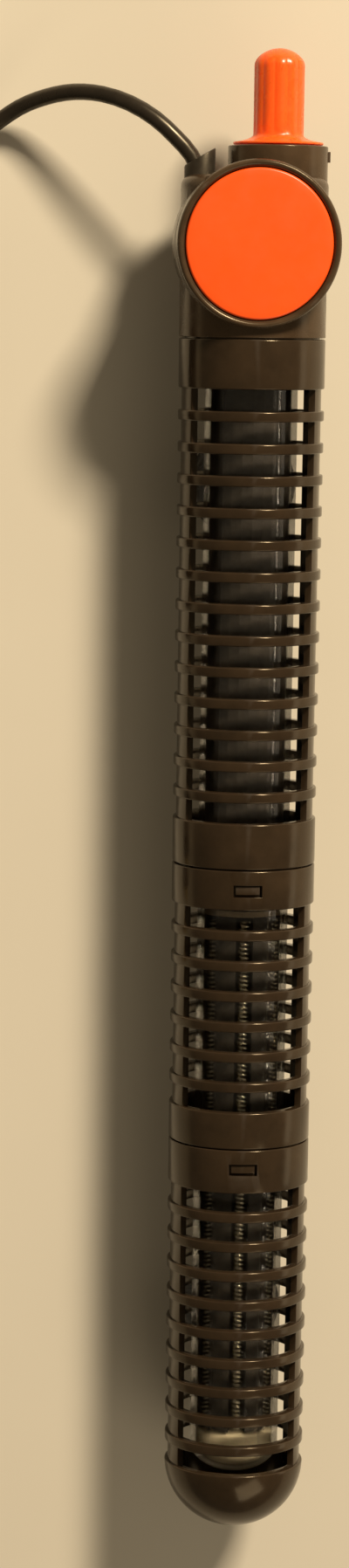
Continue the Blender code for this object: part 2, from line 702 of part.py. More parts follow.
def plug():
    """A two-blade plug with its tapered strain relief; the blades stand in slots."""
    body = place(rounded_cube("plug_body", PLUG_SIZE, 3.0, 3), PLUG, parent=SURFACE)
    foot = PLUG.y + PLUG_SIZE[1] / 2 - 1.0
    relief = [(0.0, PLUG_RELIEF_TIP), (2.7, PLUG_RELIEF_TIP), (4.8, foot), (0.0, foot)]
    cone = place(turned("plug_relief", relief, False, 20), (PLUG.x, 0.0, PLUG.z), ALONG_Y, SURFACE)
    add(body, cone)
    face = PLUG.y - PLUG_SIZE[1] / 2
    for k, side in enumerate((-1, 1)):
        x = PLUG.x + side * BLADE_SPACING / 2
        slot = cube(f"blade_slot_{k + 1}", (BLADE[0] + 2 * CLEAR, 16.0, BLADE[2] + 2 * CLEAR))
        cut(body, place(slot, (x, face, PLUG.z), parent=SURFACE))
        length = BLADE[1] + 8.0 - CLEAR
        middle = (x, face + 8.0 - CLEAR - length / 2, PLUG.z)
        blade = place(rounded_cube(f"plug_blade_{k + 1}", (BLADE[0], length, BLADE[2]), 0.4, 2),
                      middle, parent=SURFACE)
        keep(blade, "brass")
    keep(body, "cord_pvc")


head_housing()
cover_bezel()
cover_disc()
cover_seal()
cord_gland()
temperature_knob()
knob_shaft()
shaft_fittings()
adjusting_tip()
glass_tube()
tube_stopper()
clamp_collar()
tube_liner()
thermostat()
set_arm()
lamp_and_suppressor()
heating_element()
inner_wires()
guard_upper()
guard_middle()
guard_lower()
suction_cup("suction_cup_upper", CUP_Y[0])
suction_cup("suction_cup_lower", CUP_Y[1])
lead()
hank()
hank_tie()
plug()
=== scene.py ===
"""Looks of the submersible aquarium heater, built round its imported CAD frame.

Figures are in millimetres in the frame's own axes, and MM turns them into metres. The heater
lies along Y with its disc facing +Z; the camera looks down on it.
"""

import json
import math

import bmesh
import bpy
from mathutils import Matrix, Vector
from mathutils.noise import fractal


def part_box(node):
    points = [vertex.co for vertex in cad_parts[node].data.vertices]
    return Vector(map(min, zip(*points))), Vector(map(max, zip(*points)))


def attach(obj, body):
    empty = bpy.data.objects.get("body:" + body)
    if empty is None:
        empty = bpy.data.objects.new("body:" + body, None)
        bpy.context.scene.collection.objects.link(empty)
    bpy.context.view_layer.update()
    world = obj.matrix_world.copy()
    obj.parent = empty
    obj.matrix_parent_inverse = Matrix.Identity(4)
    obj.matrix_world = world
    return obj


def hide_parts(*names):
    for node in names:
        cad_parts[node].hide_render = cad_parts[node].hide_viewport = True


MM = 0.001
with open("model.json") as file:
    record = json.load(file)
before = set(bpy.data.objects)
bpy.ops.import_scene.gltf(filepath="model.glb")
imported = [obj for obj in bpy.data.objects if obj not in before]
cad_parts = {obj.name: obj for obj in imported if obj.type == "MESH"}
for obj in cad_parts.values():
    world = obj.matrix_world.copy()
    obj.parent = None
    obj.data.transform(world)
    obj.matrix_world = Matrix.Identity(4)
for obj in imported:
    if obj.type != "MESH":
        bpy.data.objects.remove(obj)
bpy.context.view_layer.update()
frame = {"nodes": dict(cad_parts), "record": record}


def span(node):
    """The node's lowest and highest corners, in millimetres."""
    low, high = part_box(node)
    return Vector(low) / MM, Vector(high) / MM


def middle(node):
    low, high = span(node)
    return (low + high) / 2


AXIS_Z = middle("glass_tube").z
HALF_LENGTH = span("temperature_knob")[1].y

# Guard
GUARD_R = (span("guard_middle")[1].x - span("guard_middle")[0].x) / 2
RIB_R = GUARD_R - 0.75
RIM_ROUNDING = 0.42
ROUNDING = 0.2
BORE_R = GUARD_R - 2.35
SOCKET_R = GUARD_R - 1.05
SPIGOT_R = GUARD_R - 1.35
RING_PITCH = 7.405
RING_HEIGHT = 2.4
GAP = RING_PITCH - RING_HEIGHT
JOINT_0 = span("guard_upper")[1].y + 0.15
JOINT_1 = span("guard_middle")[1].y + 0.15
JOINT_2 = span("guard_lower")[1].y + 0.15
SPIGOT_LENGTH = 7.9
DOME_Y = span("guard_lower")[0].y + GUARD_R
UPPER_RINGS = (96.45, 14)
MIDDLE_RINGS = (-25.5, 7)
LOWER_RINGS = (-94.85, 10)
SIDE_RIB = (math.radians(61.0), math.radians(119.0))
LATCH_DROP = 5.0
LATCH_WIDTH = 6.9
LATCH_HEIGHT = 2.9
LATCH_GAP = 0.5
TONGUE_R = GUARD_R - 0.6
HALF_GAP = 0.15
DOME_STEPS = 20
DOME_FOOT = DOME_Y - 0.6

# Head
HEAD = span("head_housing")
BODY_TOP = 150.0
DRUM_Y = middle("cover_disc").y
DRUM_BACK = -4.0
DRUM_STEP = 12.0
DRUM_FRONT = 16.0
NUB_Y = 154.4
DRUM_R = HEAD[1].x
DRUM_BORE_R = 15.2
DISC = span("cover_disc")
DISC_R = (DISC[1].x - DISC[0].x) / 2
BEZEL_INNER = DISC_R + 0.17
BEZEL_FRONT = span("cover_bezel")[1].z - AXIS_Z
BEZEL_CREST = DRUM_R - 0.75
NECK_X = middle("knob_shaft").x
NECK_R = 11.65
NECK_TOP = HEAD[1].y
GLAND_X = middle("cord_gland").x
GLAND_R = 3.65
GLAND_TILT = math.radians(29.5)
GLAND_CUT_Y = 154.2
KNOB_BASE = span("temperature_knob")[0].y
KNOB_R = 5.87
SKIRT_R = (span("temperature_knob")[1].x - span("temperature_knob")[0].x) / 2
FLUTES = 12
FLUTE_DEPTH = 0.24
CROWN_DEPTH = 3.9
RIM_HEIGHT = 0.55

# Tube
TUBE_R = (span("glass_tube")[1].x - span("glass_tube")[0].x) / 2
TUBE_WALL = 1.2
TUBE_TOP = span("glass_tube")[1].y
TUBE_DOME = 7.0
TUBE_END = span("glass_tube")[0].y + TUBE_DOME
FORMER = span("ceramic_former")
FORMER_R = (FORMER[1].x - FORMER[0].x) / 2
COILS = 6
COIL_PITCH = 1.1
COIL_R = 1.25
WIRE_R = 0.24
TURN_STEPS = 12
PAD_UNEVENNESS = 0.22

# Lead
CORD_R = 1.9
HANK = middle("cord_hank")
HANK_RUN = 70.0
FOLD_OUTER = 15.5
FOLD_INNER = 11.4
LAYER_STEP = 3.9
HANK_LAYERS = 4
HANK_Z = span("cord_hank")[0].z + CORD_R
PLUG = middle("plug_blade_1") * 0.5 + middle("plug_blade_2") * 0.5
CORD_START = (
    (GLAND_X, 147.0, 26.0),
    (GLAND_X - 0.15, 150.2, 26.0),
)
CORD_ROUTE = (
    (-14.9, 154.4, 26.0),
    (-18.7, 158.5, 25.8),
    (-23.4, 162.6, 25.0),
    (-29.2, 166.0, 23.0),
    (-35.5, 168.1, 19.8),
    (-42.0, 168.7, 15.8),
    (-48.4, 167.7, 11.4),
    (-54.8, 165.3, 7.4),
    (-61.2, 161.0, 4.4),
    (-66.8, 156.2, 3.2),
    (-72.3, 152.4, 2.9),
)
HANK_ENTRY = (-77.4, 150.4, 3.0)
LINE_STEP = 3.0
TAIL_ROUTE = (
    (-98.0, 53.0, 14.3),
    (-97.8, 48.0, 12.9),
    (-96.6, 42.0, 10.6),
    (-94.9, 36.2, 8.8),
    (-93.5, 31.2, 8.1),
    (-93.0, 26.9, 8.0),
)

# Camera: its distance in front of the heater's axis, where it stands beside it, and its aim.
CAMERA_DISTANCE = 931.2
CAMERA_ASIDE = -15.65
CAMERA_Y = 123.64
CAMERA_PITCH = math.radians(12.89)
CAMERA_ROLL = math.radians(0.771)
CAMERA_TURN = math.radians(3.2)
CAMERA_LENS = 88.81
CAMERA_SHIFT = 0.25

# How far the floor is set below the part, in metres.
FLOOR_DROP = 0.0002

# Turns a profile's own axes so that it runs along +Y, with angle 0 facing +Z.
ALONG_Y = Matrix(((0, 1, 0, 0), (0, 0, 1, 0), (1, 0, 0, 0), (0, 0, 0, 1)))


def on_axis(x=0.0):
    return Matrix.Translation((x, 0.0, AXIS_Z)) @ ALONG_Y


def facing(y):
    """A frame whose own Z faces +Z, at a point of the heater's axis."""
    return Matrix.Translation((0.0, y, AXIS_Z))


# Camera, floor and light


def make_camera():
    turn = Matrix.Rotation(-CAMERA_TURN, 3, "Y")
    right = Vector((1.0, 0.0, 0.0))
    up = Vector((0.0, math.cos(CAMERA_PITCH), -math.sin(CAMERA_PITCH)))
    ahead = Vector((0.0, -math.sin(CAMERA_PITCH), -math.cos(CAMERA_PITCH)))
    cosine, sine = math.cos(CAMERA_ROLL), math.sin(CAMERA_ROLL)
    axes = (cosine * right + sine * up, cosine * up - sine * right, -ahead)
    place = turn @ Vector((CAMERA_ASIDE, 0.0, CAMERA_DISTANCE)) + Vector((0, CAMERA_Y, AXIS_Z))
    data = bpy.data.cameras.new("camera")
    data.lens = CAMERA_LENS
    data.sensor_width = 36.0
    data.shift_y = CAMERA_SHIFT
    data.clip_start = 0.01
    data.clip_end = 20.0
    camera = bpy.data.objects.new("camera", data)
    rotation = Matrix([turn @ axis for axis in axes]).transposed().to_4x4()
    camera.matrix_world = Matrix.Translation(place * MM) @ rotation
    bpy.context.scene.collection.objects.link(camera)
    bpy.context.scene.camera = camera


def area_light(name, place, target, size, power, color):
    data = bpy.data.lights.new(name, "AREA")
    data.shape = "RECTANGLE"
    data.size, data.size_y = size
    data.energy = power
    data.color = color
    light = bpy.data.objects.new(name, data)
    light.location = place
    aim = Vector(target) - Vector(place)
    light.rotation_euler = aim.to_track_quat("-Z", "Y").to_euler()
    bpy.context.scene.collection.objects.link(light)


def make_lights():
    warm = (1.0, 0.86, 0.64)
    area_light("key", (0.7, 1.3, 1.25), (0.0, 0.0, 0.02), (0.36, 0.3), 56.0, warm)
    area_light("side", (1.0, 0.05, 0.13), (0.0, 0.0, 0.03), (1.1, 0.22), 1.0, warm)
    area_light("fill", (0.5, -1.1, 0.95), (0.0, 0.0, 0.02), (0.9, 0.7), 4.0, warm)
    world = bpy.data.worlds.new("studio")
    world.use_nodes = True
    background = world.node_tree.nodes["Background"]
    background.inputs["Color"].default_value = (0.95, 0.80, 0.56, 1.0)
    background.inputs["Strength"].default_value = 0.16
    bpy.context.scene.world = world
    bpy.context.scene.view_settings.view_transform = "Standard"


# Materials


class Shader:
    """A Principled material with the few node steps that the surfaces here share."""

    def __init__(self, name):
        self.material = bpy.data.materials.new(name)
        self.material.use_nodes = True
        self.tree = self.material.node_tree
        self.main = self.tree.nodes["Principled BSDF"]
        self.coords = self.add("ShaderNodeTexCoord").outputs["Object"]

    def add(self, kind, **values):
        node = self.tree.nodes.new(kind)
        for key, value in values.items():
            setattr(node, key, value)
        return node

    def link(self, source, target):
        self.tree.links.new(source, target)

    def set(self, **values):
        for key, value in values.items():
            self.main.inputs[key.replace("_", " ")].default_value = value

    def noise(self, scale, detail=4.0, rough=0.5):
        node = self.add("ShaderNodeTexNoise")
        node.inputs["Scale"].default_value = scale
        node.inputs["Detail"].default_value = detail
        node.inputs["Roughness"].default_value = rough
        self.link(self.coords, node.inputs["Vector"])
        return node.outputs["Fac"]

    def ramp(self, value, stops):
        node = self.add("ShaderNodeValToRGB")
        ramp = node.color_ramp
        for k, (position, color) in enumerate(stops):
            stop = ramp.elements[k] if k < 2 else ramp.elements.new(position)
            stop.position = position
            stop.color = (*color, 1.0)
        self.link(value, node.inputs["Fac"])
        return node.outputs["Color"]

    def spread(self, value, low, high, socket):
        node = self.add("ShaderNodeMapRange")
        node.inputs["From Min"].default_value = 0.3
        node.inputs["From Max"].default_value = 0.7
        node.inputs["To Min"].default_value = low
        node.inputs["To Max"].default_value = high
        self.link(value, node.inputs["Value"])
        self.link(node.outputs["Result"], self.main.inputs[socket])

    def color(self, value, stops):
        self.link(self.ramp(value, stops), self.main.inputs["Base Color"])

    def bump(self, value, strength, distance):
        node = self.add("ShaderNodeBump")
        node.inputs["Strength"].default_value = strength
        node.inputs["Distance"].default_value = distance
        self.link(value, node.inputs["Height"])
        self.link(node.outputs["Normal"], self.main.inputs["Normal"])


def tone(color, factor):
    return tuple(min(1.0, channel * factor) for channel in color)


def mottled(name, color, rough, scale, change, grain=2600.0, bump=0.05, wear_and_highlight=0.35, **values):
    """Slow colour change, uneven gloss, a fine grain, and lighter edges that are partly rubbed
    wear and partly a painted highlight.
    """
    made = Shader(name)
    slow = made.noise(scale, 5.0, 0.6)
    base = made.ramp(slow, ((0.3, tone(color, 1 - change)), (0.7, tone(color, 1 + change))))
    # Convex edges, found by pointiness and broken up by noise, are mixed towards a lighter tone.
    # This is partly rubbed wear and partly a painted highlight that does not depend on the lamps.
    edge = made.add("ShaderNodeMapRange")
    edge.inputs["From Min"].default_value = 0.52
    edge.inputs["From Max"].default_value = 0.62
    edge.inputs["To Max"].default_value = wear_and_highlight
    made.link(made.add("ShaderNodeNewGeometry").outputs["Pointiness"], edge.inputs["Value"])
    patchy = made.add("ShaderNodeMath", operation="MULTIPLY")
    made.link(edge.outputs["Result"], patchy.inputs[0])
    made.link(made.noise(scale * 3.0, 4.0), patchy.inputs[1])
    mix = made.add("ShaderNodeMix", data_type="RGBA")
    made.link(patchy.outputs["Value"], mix.inputs["Factor"])
    made.link(base, mix.inputs["A"])
    mix.inputs["B"].default_value = (*tone([c + 0.04 for c in color], 1.6), 1.0)
    made.link(mix.outputs["Result"], made.main.inputs["Base Color"])
    made.spread(made.noise(scale * 2.3, 3.0), rough[0], rough[1], "Roughness")
    made.bump(made.noise(grain, 2.0), bump, 0.0001)
    made.set(**values)
    return made.material


def make_materials():
    return {
        "black_abs": mottled("black_abs", (0.027, 0.0165, 0.0088), (0.14, 0.22), 120.0, 0.25,
                             3000.0, 0.08, IOR=1.42, Specular_Tint=(1.0, 0.84, 0.6, 1.0)),
        "head_black": mottled("head_black", (0.052, 0.031, 0.0165), (0.20, 0.30), 120.0, 0.25,
                              3000.0, 0.08, IOR=1.42, Specular_Tint=(1.0, 0.84, 0.6, 1.0)),
        "orange_abs": mottled("orange_abs", (0.93, 0.093, 0.0095), (0.28, 0.38), 90.0, 0.04,
                              2600.0, 0.04, 0.1, IOR=1.46),
        "knob_orange": mottled("knob_orange", (0.95, 0.120, 0.010), (0.24, 0.34), 90.0, 0.05,
                               2600.0, 0.04, 0.15, IOR=1.48, Subsurface_Weight=0.6,
                               Subsurface_Scale=0.003),
        "black_rubber": mottled("black_rubber", (0.017, 0.0125, 0.0080), (0.36, 0.50), 300.0, 0.3,
                                2200.0, 0.12, IOR=1.42, Specular_Tint=(1.0, 0.84, 0.6, 1.0)),
        "ceramic": mottled("ceramic", (0.60, 0.50, 0.36), (0.6, 0.8), 420.0, 0.16, 1500.0, 0.25),
        "dark_ceramic": mottled("dark_ceramic", (0.030, 0.023, 0.015), (0.5, 0.7), 420.0, 0.3,
                                1500.0, 0.35, Specular_IOR_Level=0.3),
        "silica_pad": mottled("silica_pad", (0.98, 0.80, 0.54), (0.85, 0.98), 700.0, 0.10,
                              1200.0, 0.8, 0.1),
        "liner_sleeve": mottled("liner_sleeve", (0.026, 0.0185, 0.0110), (0.40, 0.56), 300.0, 0.3,
                                1400.0, 0.4),
        "mica_board": mottled("mica_board", (0.30, 0.22, 0.13), (0.4, 0.6), 500.0, 0.3,
                              900.0, 0.15),
        "bimetal": mottled("bimetal", (0.60, 0.50, 0.34), (0.28, 0.42), 400.0, 0.12, Metallic=1.0),
        "steel": mottled("steel", (0.56, 0.55, 0.54), (0.22, 0.36), 420.0, 0.1, Metallic=1.0),
        "brass": mottled("brass", (0.78, 0.60, 0.28), (0.2, 0.34), 350.0, 0.12, Metallic=1.0),
        "heating_wire": mottled("heating_wire", (0.92, 0.78, 0.58), (0.10, 0.18), 500.0, 0.2,
                                Metallic=1.0),
        "wire_sleeve": mottled("wire_sleeve", (0.72, 0.69, 0.62), (0.6, 0.8), 600.0, 0.1,
                               1600.0, 0.5),
        "cord_pvc": mottled("cord_pvc", (0.017, 0.0125, 0.0085), (0.24, 0.34), 160.0, 0.25,
                            2400.0, 0.06, IOR=1.48, Specular_Tint=(1.0, 0.86, 0.64, 1.0)),
        "cup_silicone": mottled("cup_silicone", (0.045, 0.040, 0.034), (0.2, 0.32), 200.0, 0.2,
                                2000.0, 0.05, Coat_Weight=0.3),
        "quartz_glass": mottled("quartz_glass", (0.93, 0.91, 0.86), (0.02, 0.05), 60.0, 0.03,
                                500.0, 0.01, 0.0, Transmission_Weight=1.0, IOR=1.46, Alpha=0.5),
        "lamp_glass": mottled("lamp_glass", (0.95, 0.66, 0.42), (0.04, 0.08), 90.0, 0.08,
                              600.0, 0.02, 0.0, Transmission_Weight=0.9, IOR=1.46),
    }


# Mesh tools. MERGE joins corners this near, and SHARP_FROM is the angle where shading breaks.
MERGE = 0.0005
SHARP_FROM = 35.0
ON_AXIS = 1e-6


def mesh_object(name, bm):
    """Merges what touches and turns the millimetres into metres."""
    bmesh.ops.remove_doubles(bm, verts=bm.verts, dist=MERGE)
    bmesh.ops.scale(bm, vec=(MM, MM, MM), verts=bm.verts)
    mesh = bpy.data.meshes.new(name)
    bm.to_mesh(mesh)
    bm.free()
    return bpy.data.objects.new(name, mesh)


def smooth_below(mesh, degrees):
    mesh.shade_smooth()
    mesh.set_sharp_from_angle(angle=math.radians(degrees))


def mesh_piece(name, bm, slot, body, stands_for, smooth=SHARP_FROM):
    obj = mesh_object(name, bm)
    smooth_below(obj.data, smooth)
    return finish_piece(obj, slot, body, stands_for)


def finish_piece(obj, slot, body, stands_for):
    obj.data.materials.append(MATERIALS[slot])
    bpy.context.scene.collection.objects.link(obj)
    bpy.context.view_layer.update()
    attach(obj, body)
    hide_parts(*stands_for)
    return obj


def loose_object(name, bm):
    obj = mesh_object(name, bm)
    bpy.context.scene.collection.objects.link(obj)
    return obj


def solid_piece(name, added, cuts, slot, body, stands_for):
    """One closed mesh: the added ones joined, less the cuts."""
    target = loose_object(f"{name}_work", added[0])
    helpers = []
    for operation, meshes in (("UNION", added[1:]), ("DIFFERENCE", cuts)):
        for bm in meshes:
            helper = loose_object(f"{name}_helper", bm)
            helpers.append(helper)
            boolean = target.modifiers.new("join", "BOOLEAN")
            boolean.operation = operation
            boolean.solver = "EXACT"
            boolean.object = helper
    bpy.context.view_layer.update()
    graph = bpy.context.evaluated_depsgraph_get()
    mesh = bpy.data.meshes.new_from_object(target.evaluated_get(graph))
    for obj in (target, *helpers):
        bpy.data.objects.remove(obj)
    mesh.name = name
    mesh.materials.clear()
    smooth_below(mesh, SHARP_FROM)
    return finish_piece(bpy.data.objects.new(name, mesh), slot, body, stands_for)


def arc(centre, radius, start, end, steps):
    """Points of an arc in a profile, in degrees."""
    points = []
    for k in range(steps + 1):
        angle = math.radians(start + (end - start) * k / steps)
        points.append((centre[0] + radius * math.cos(angle), centre[1] + radius * math.sin(angle)))
    return points


def turn(bm, outline, matrix, steps, closed=True):
    """Adds a turned profile of (radius, height) points; a closed one also joins its ends."""
    rings = []
    for k in range(steps):
        angle = 2 * math.pi * k / steps
        ring = []
        for radius, height in outline:
            place = Vector((radius * math.cos(angle), radius * math.sin(angle), height))
            ring.append(bm.verts.new(matrix @ place))
        rings.append(ring)
    sides = len(outline) if closed else len(outline) - 1
    for a, b in zip(rings, [*rings[1:], rings[0]]):
        for k in range(sides):
            j = (k + 1) % len(outline)
            corners = [a[k], a[j], b[j], b[k]]
            if outline[k][0] < ON_AXIS:
                corners = [a[k], a[j], b[j]]
            elif outline[j][0] < ON_AXIS:
                corners = [a[k], a[j], b[k]]
            bm.faces.new(corners)
    bmesh.ops.recalc_face_normals(bm, faces=bm.faces)


def revolved(outline, matrix, steps, closed=False):
    bm = bmesh.new()
    turn(bm, outline, matrix, steps, closed)
    return bm


def turned_piece(name, outline, matrix, slot, body, stands_for, steps, closed=False,
                 smooth=SHARP_FROM):
    bm = revolved(outline, matrix, steps, closed)
    return mesh_piece(name, bm, slot, body, stands_for, smooth)


def skin(bm, rings):
    """Joins each ring of corners to the next."""
    for a, b in zip(rings, rings[1:]):
        for k in range(len(a)):
            j = (k + 1) % len(a)
            bm.faces.new((a[k], a[j], b[j], b[k]))


# Guard


def snapped(special, step):
    """Angles a step apart round the axis, with the nearest ones moved onto special angles."""
    whole = 2 * math.pi
    count = round(whole / step)
    angles = [k * step for k in range(count)]
    for wanted in special:
        wanted %= whole
        gaps = [abs((angle - wanted + math.pi) % whole - math.pi) for angle in angles]
        angles[gaps.index(min(gaps))] = wanted
    return sorted(angles)


def lattice(bm, angles, heights, radii, solid, open_foot=False):
    """Skins the filled cells of a round grid, where solid(angle, height, radius) fills one."""
    verts = {}

    def vert(i, j, k):
        key = (i % len(angles), j, k)
        if key not in verts:
            angle, r = angles[key[0]], radii[k]
            place = Vector((r * math.cos(angle), r * math.sin(angle), heights[j]))
            verts[key] = bm.verts.new(on_axis() @ place)
        return verts[key]

    def filled(i, j, k):
        if not (0 <= j < len(heights) - 1 and 0 <= k < len(radii) - 1):
            return False
        start = angles[i % len(angles)]
        after = angles[(i + 1) % len(angles)]
        angle = start + ((after - start) % (2 * math.pi)) / 2
        return solid(angle, (heights[j] + heights[j + 1]) / 2, (radii[k] + radii[k + 1]) / 2)

    cells = {(i, j, k): filled(i, j, k) for i in range(len(angles))
             for j in range(-1, len(heights)) for k in range(-1, len(radii))}

    def is_filled(i, j, k):
        return cells[(i % len(angles), j, k)]

    for cell in [key for key, full in cells.items() if full]:
        for axis in range(3):
            for side in (0, 1):
                beyond = list(cell)
                beyond[axis] += 2 * side - 1
                at_foot = axis == 1 and side == 0 and cell[1] == 0
                if is_filled(*beyond) or (open_foot and at_foot):
                    continue
                corners = []
                for first, second in ((0, 0), (1, 0), (1, 1), (0, 1)):
                    corner = list(cell)
                    corner[axis] += side
                    corner[(axis + 1) % 3] += first
                    corner[(axis + 2) % 3] += second
                    corners.append(vert(*corner))
                bm.faces.new(corners)
    return verts


def sharp_edges(bm):
    return [edge for edge in bm.edges
            if len(edge.link_faces) == 2 and edge.calc_face_angle() > math.radians(SHARP_FROM)]


def rounded(bm, edges, width):
    bmesh.ops.bevel(bm, geom=edges, offset=width, offset_type="OFFSET", segments=3,
                    profile=0.5, affect="EDGES", clamp_overlap=True)


def soften(bm, latch_heights):
    """Merges flat faces, then rounds the outer rims well and every other sharp edge a little."""
    bmesh.ops.recalc_face_normals(bm, faces=bm.faces)
    bmesh.ops.dissolve_limit(bm, angle_limit=math.radians(1.0), verts=bm.verts, edges=bm.edges)

    def on_rim(vert):
        across = math.hypot(vert.co.x, vert.co.z - AXIS_Z)
        at_latch = any(abs(vert.co.y - y) < LATCH_HEIGHT for y in latch_heights)
        return across > GUARD_R - 0.02 and not (at_latch and vert.co.z > AXIS_Z + GUARD_R * 0.9)

    rims = [edge for edge in sharp_edges(bm) if all(on_rim(vert) for vert in edge.verts)]
    others = [edge for edge in sharp_edges(bm) if not all(on_rim(vert) for vert in edge.verts)]
    rounded(bm, rims, RIM_ROUNDING)
    rounded(bm, [edge for edge in others if edge.is_valid], ROUNDING)


def close_dome(bm, angles, verts, radii, foot):
    """Carries the open foot of the lowest section on into its round end, inside and out."""
    for radius, shell in ((radii[-1], len(radii) - 1), (radii[0], 0)):
        before = [verts[(i, 0, shell)] for i in range(len(angles))]
        start = math.asin((DOME_Y - foot) / radius)
        for k in range(1, DOME_STEPS):
            lift = start + (math.pi / 2 - start) * k / DOME_STEPS
            r, height = radius * math.cos(lift), DOME_Y - radius * math.sin(lift)
            ring = []
            for angle in angles:
                place = Vector((r * math.cos(angle), r * math.sin(angle), height))
                ring.append(bm.verts.new(on_axis() @ place))
            for i in range(len(angles)):
                j = (i + 1) % len(angles)
                bm.faces.new((before[i], before[j], ring[j], ring[i]))
            before = ring
        pole = bm.verts.new(on_axis() @ Vector((0.0, 0.0, DOME_Y - radius)))
        for i in range(len(angles)):
            bm.faces.new((before[i], before[(i + 1) % len(angles)], pole))


def guard_section(name, mouth, foot, rings, window, cup_y):
    """A ribbed section: its socket, band, rings and ribs, and the spigot or dome below."""
    first, count = rings
    rounded_end = foot < DOME_Y
    spigot_end = foot - SPIGOT_LENGTH
    seat = mouth - SPIGOT_LENGTH - 0.3
    lows = [max(first - k * RING_PITCH, foot + 0.6) for k in range(count)]
    gaps = [(low, first - k * RING_PITCH + GAP) for k, low in enumerate(lows)]
    heights = {mouth, seat, foot, *(y for gap in gaps for y in gap)}
    window_half = math.asin(LATCH_WIDTH / 2 / GUARD_R)
    tongue_half = math.asin((LATCH_WIDTH / 2 - LATCH_GAP) / GUARD_R)
    special = [SIDE_RIB[0], SIDE_RIB[1], -SIDE_RIB[0], -SIDE_RIB[1]]
    radii = [BORE_R, SPIGOT_R, SOCKET_R, RIB_R, GUARD_R]
    if window:
        heights |= {window - LATCH_HEIGHT / 2, window + LATCH_HEIGHT / 2}
        special += [window_half, -window_half]
    latch = foot - LATCH_DROP
    tongue_low = latch - LATCH_HEIGHT / 2 + LATCH_GAP
    tongue_high = latch + LATCH_HEIGHT / 2 - LATCH_GAP
    if not rounded_end:
        heights |= {spigot_end, tongue_low, tongue_high}
        special += [tongue_half, -tongue_half]
        radii = sorted({*radii, TONGUE_R})

    def solid(angle, height, radius):
        front = (angle + math.pi) % (2 * math.pi) - math.pi
        if height < foot:
            tongue = tongue_low < height < tongue_high and abs(front) < tongue_half
            return radius < SPIGOT_R or (tongue and radius < TONGUE_R)
        if height > seat and radius < SOCKET_R:
            return False
        if window and abs(height - window) < LATCH_HEIGHT / 2 and abs(front) < window_half:
            return False
        if any(low < height < high for low, high in gaps):
            return SIDE_RIB[0] < abs(front) < SIDE_RIB[1] and radius < RIB_R
        return True

    angles = snapped(special, math.radians(3.0))
    bm = bmesh.new()
    verts = lattice(bm, angles, sorted(heights), radii, solid, rounded_end)
    if rounded_end:
        close_dome(bm, angles, verts, radii, foot)
    soften(bm, [y for y in (window, latch if not rounded_end else None) if y is not None])
    pieces = [bm]
    if cup_y is not None:
        boss = bmesh.new()
        plate = [(5.5, -15.2), (5.5, -17.3), (5.2, -17.6), (2.3, -17.6), (2.3, -15.2)]
        turn(boss, plate, facing(cup_y), 48)
        pieces.append(boss)
    solid_piece(name, pieces, (), "black_abs", "guard", (name.replace("_shell", ""),))


def make_guard():
    guard_section("guard_upper_shell", JOINT_0 - HALF_GAP, JOINT_1 + HALF_GAP, UPPER_RINGS, None,
                  middle("suction_cup_upper").y)
    guard_section("guard_middle_shell", JOINT_1 - HALF_GAP, JOINT_2 + HALF_GAP, MIDDLE_RINGS,
                  JOINT_1 - LATCH_DROP, None)
    guard_section("guard_lower_shell", JOINT_2 - HALF_GAP, DOME_FOOT, LOWER_RINGS,
                  JOINT_2 - LATCH_DROP, middle("suction_cup_lower").y)


def make_cups():
    for name in ("suction_cup_upper", "suction_cup_lower"):
        lip = -AXIS_Z
        stud = [(0.0, -12.9), (1.6, -12.95), (2.8, -13.3), (3.3, -13.9), (3.2, -14.3),
                (2.1, -14.7), (1.95, -15.2), (1.95, -17.8), (2.3, -17.9), (4.7, -17.92),
                *arc((4.7, -18.3), 0.35, 80, 0, 3)]
        bell = [(5.1, -19.6), (5.5, -20.4), (6.8, -21.0), (9.2, -21.9), (11.2, -23.3),
                (12.6, -24.9), (12.95, -25.5), (12.9, lip), (11.9, lip), (10.6, -24.6),
                (8.6, -23.3), (6.0, -22.3), (3.0, -21.8), (0.0, -21.6)]
        turned_piece(f"{name}_bell", [*stud, *bell], facing(middle(name).y), "cup_silicone",
                     "guard", (name,), 72)


# Head


